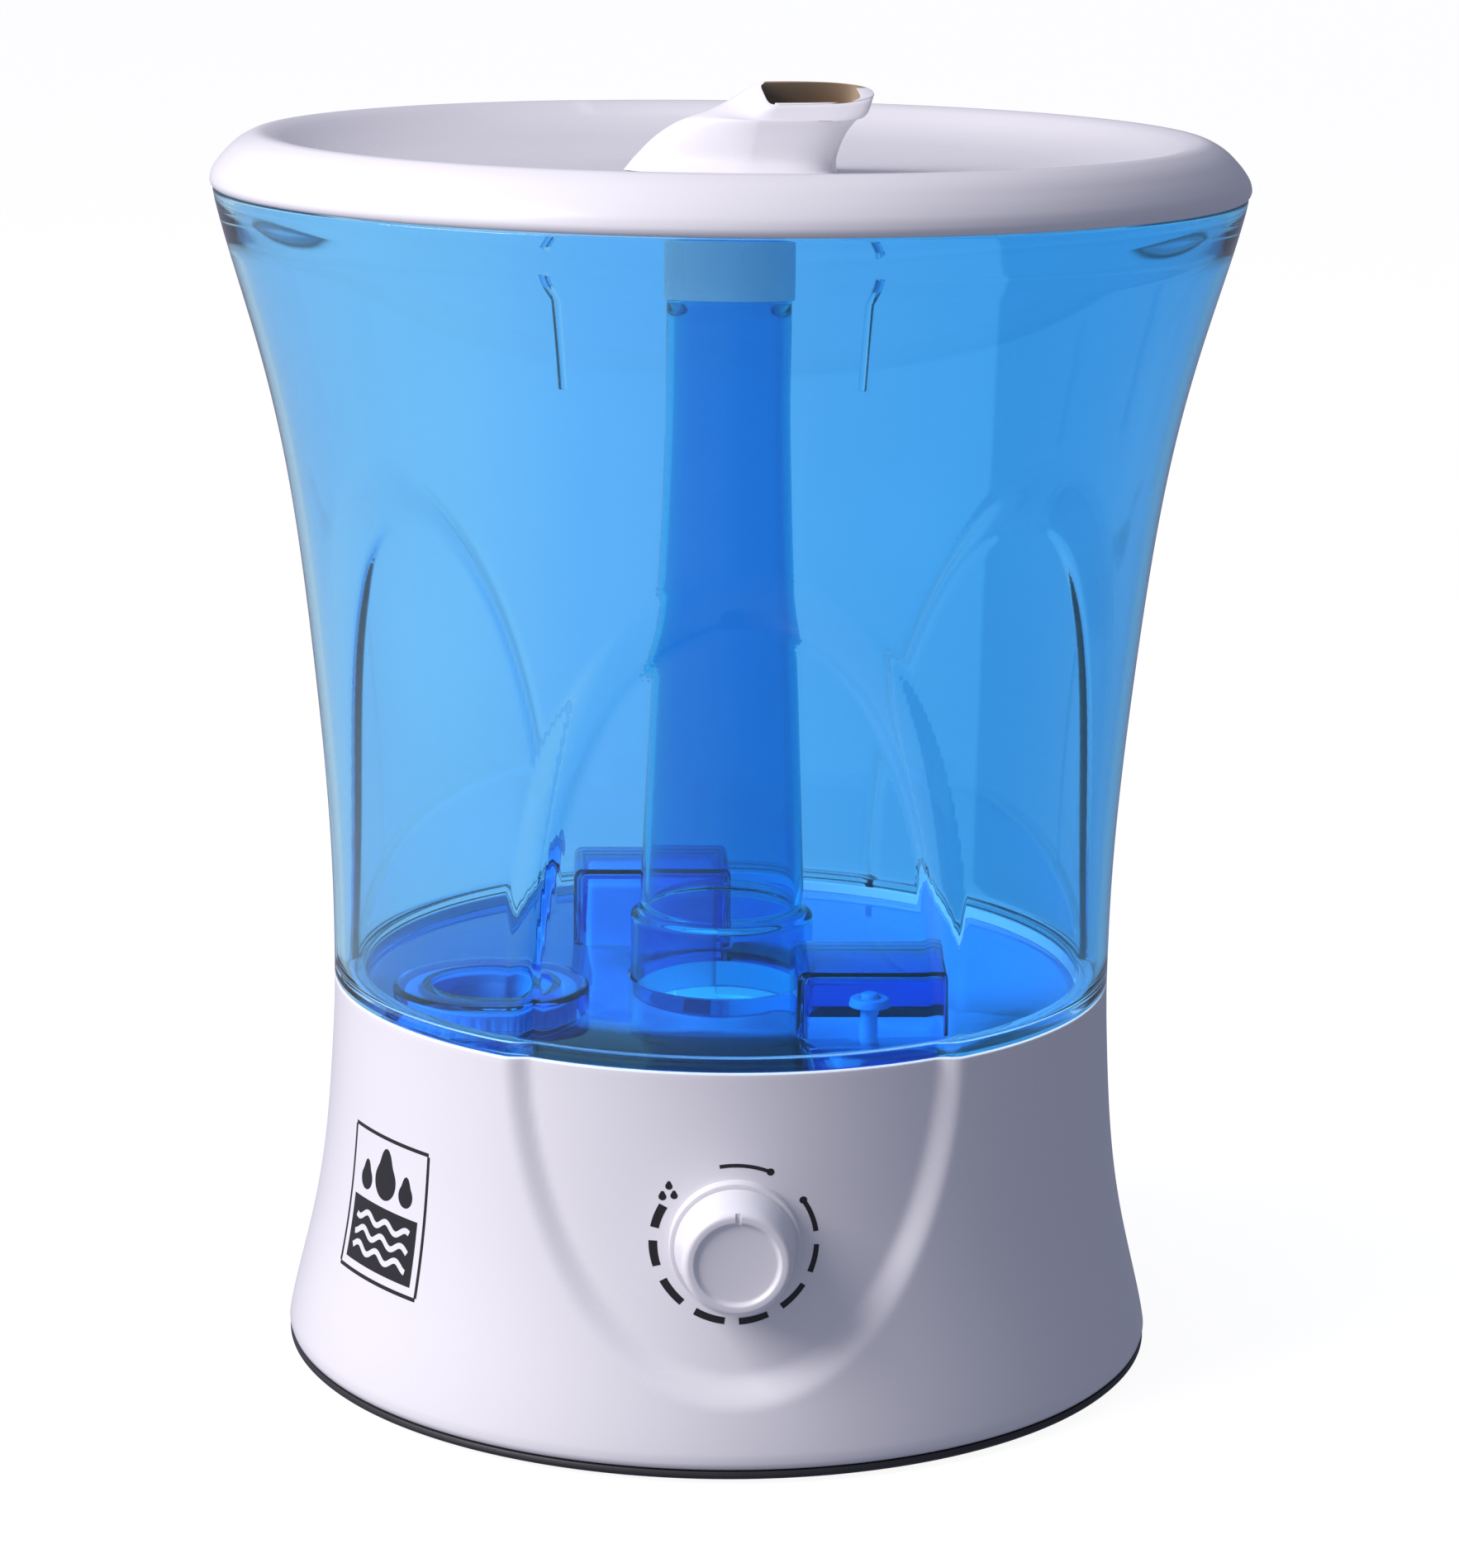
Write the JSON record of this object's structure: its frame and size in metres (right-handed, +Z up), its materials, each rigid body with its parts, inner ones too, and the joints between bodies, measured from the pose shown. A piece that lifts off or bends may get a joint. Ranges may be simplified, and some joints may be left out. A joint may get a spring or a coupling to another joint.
{
  "type": "cool mist humidifier",
  "caption": "Ultrasonic cool mist humidifier: white base with a dial, fan and transducer, lift-off clear blue tank with a central mist tube, dished lid and swivelling mist nozzle.",
  "frame": {"origin": "on the floor, under the vertical axis of the round body", "axes": "+Z up, -Y towards the front with the dial, +X to the right seen from the front"},
  "size_m": [0.2704, 0.2704, 0.341],
  "materials": {
    "white_gloss": "moulded ABS, glossy, faint cool cast",
    "white_satin": "moulded, satin",
    "blue_tank": "clear azure tinted, polished",
    "deep_blue": "clear tinted, thicker wall reads deeper blue",
    "black_plastic": "fine grain",
    "rubber": "matt",
    "steel": "zinc plated",
    "brass_disc": "plated disc with a silvered electrode",
    "grey_plastic": "moulded",
    "aluminium_sink": "extruded",
    "circuit_board": "solder mask",
    "core_iron": "laminated",
    "copper_coil": "enamelled winding",
    "float_foam": "closed cell foam",
    "magnet": "ferrite"
  },
  "bodies": {
    "base": {"base_housing": "white_gloss", "water_basin": "white_satin", "bottom_cover": "black_plastic", "rubber_foot_1": "rubber", "rubber_foot_2": "rubber", "rubber_foot_3": "rubber", "rubber_foot_4": "rubber", "bottom_screw_1": "steel", "bottom_screw_2": "steel", "bottom_screw_3": "steel", "transducer_gasket": "rubber", "transducer_disc": "brass_disc", "transducer_ring": "steel", "transducer_screw_1": "steel", "transducer_screw_2": "steel", "transducer_screw_3": "steel", "fan_housing": "black_plastic", "fan_screw_1": "steel", "fan_screw_2": "steel", "air_duct": "grey_plastic", "driver_board": "circuit_board", "heat_sink": "aluminium_sink", "power_transistor": "black_plastic", "power_board": "circuit_board", "transformer_core": "core_iron", "transformer_coil": "copper_coil", "reed_switch": "black_plastic", "potentiometer": "steel", "pot_nut": "steel", "control_board": "circuit_board", "cable_grommet": "rubber", "float_clip": "white_satin"},
    "tank": {"tank_wall": "blue_tank", "tank_floor": "deep_blue", "mist_tube": "deep_blue"},
    "cap_carrier": {"cap_gasket": "rubber"},
    "cap": {"filler_cap": "white_satin", "valve_spring": "steel"},
    "valve": {"valve_plunger": "white_satin", "valve_seal": "rubber"},
    "lid": {"lid_dish": "white_gloss"},
    "nozzle": {"mist_nozzle": "white_gloss", "nozzle_clip": "steel"},
    "dial": {"control_knob": "white_gloss", "knob_shaft": "steel"},
    "fan": {"fan_impeller": "black_plastic"},
    "float": {"water_float": "float_foam", "float_magnet": "magnet"}
  },
  "joints": [
    {"name": "tank_lift", "type": "slide", "parent": "base", "child": "tank", "axis": [0, 0, 1], "range_m": [0, 0.15]},
    {"name": "lid_lift", "type": "slide", "parent": "tank", "child": "lid", "axis": [0, 0, 1], "range_m": [0, 0.12]},
    {"name": "nozzle_swivel", "type": "hinge", "parent": "lid", "child": "nozzle", "pos_m": [0, 0, 0.3175], "axis": [0, 0, 1], "continuous": true},
    {"name": "cap_travel", "type": "slide", "parent": "tank", "child": "cap_carrier", "axis": [0, 0, 1], "range_m": [-0.0031, 0]},
    {"name": "cap_turn", "type": "hinge", "parent": "cap_carrier", "child": "cap", "pos_m": [-0.0615, -0.0324, 0.098], "axis": [0, 0, -1], "range_deg": [0, 360]},
    {"name": "valve_push", "type": "slide", "parent": "cap", "child": "valve", "axis": [0, 0, 1], "range_m": [0, 0.004], "stiffness_N_per_m": 40, "springref_m": -0.002, "deforming": ["valve_spring"]},
    {"name": "dial_turn", "type": "hinge", "parent": "base", "child": "dial", "pos_m": [0, -0.11, 0.0588], "axis": [0, 1, 0], "range_deg": [0, 300]},
    {"name": "fan_spin", "type": "hinge", "parent": "base", "child": "fan", "pos_m": [-0.018, 0.044, 0.0165], "axis": [0, 0, 1], "continuous": true},
    {"name": "float_rise", "type": "slide", "parent": "base", "child": "float", "axis": [0, 0, 1], "range_m": [0, 0.016]}
  ],
  "couplings": [
    {"joint": "cap_travel", "follows": "cap_turn", "m_per_rad": -0.00047746}
  ]
}
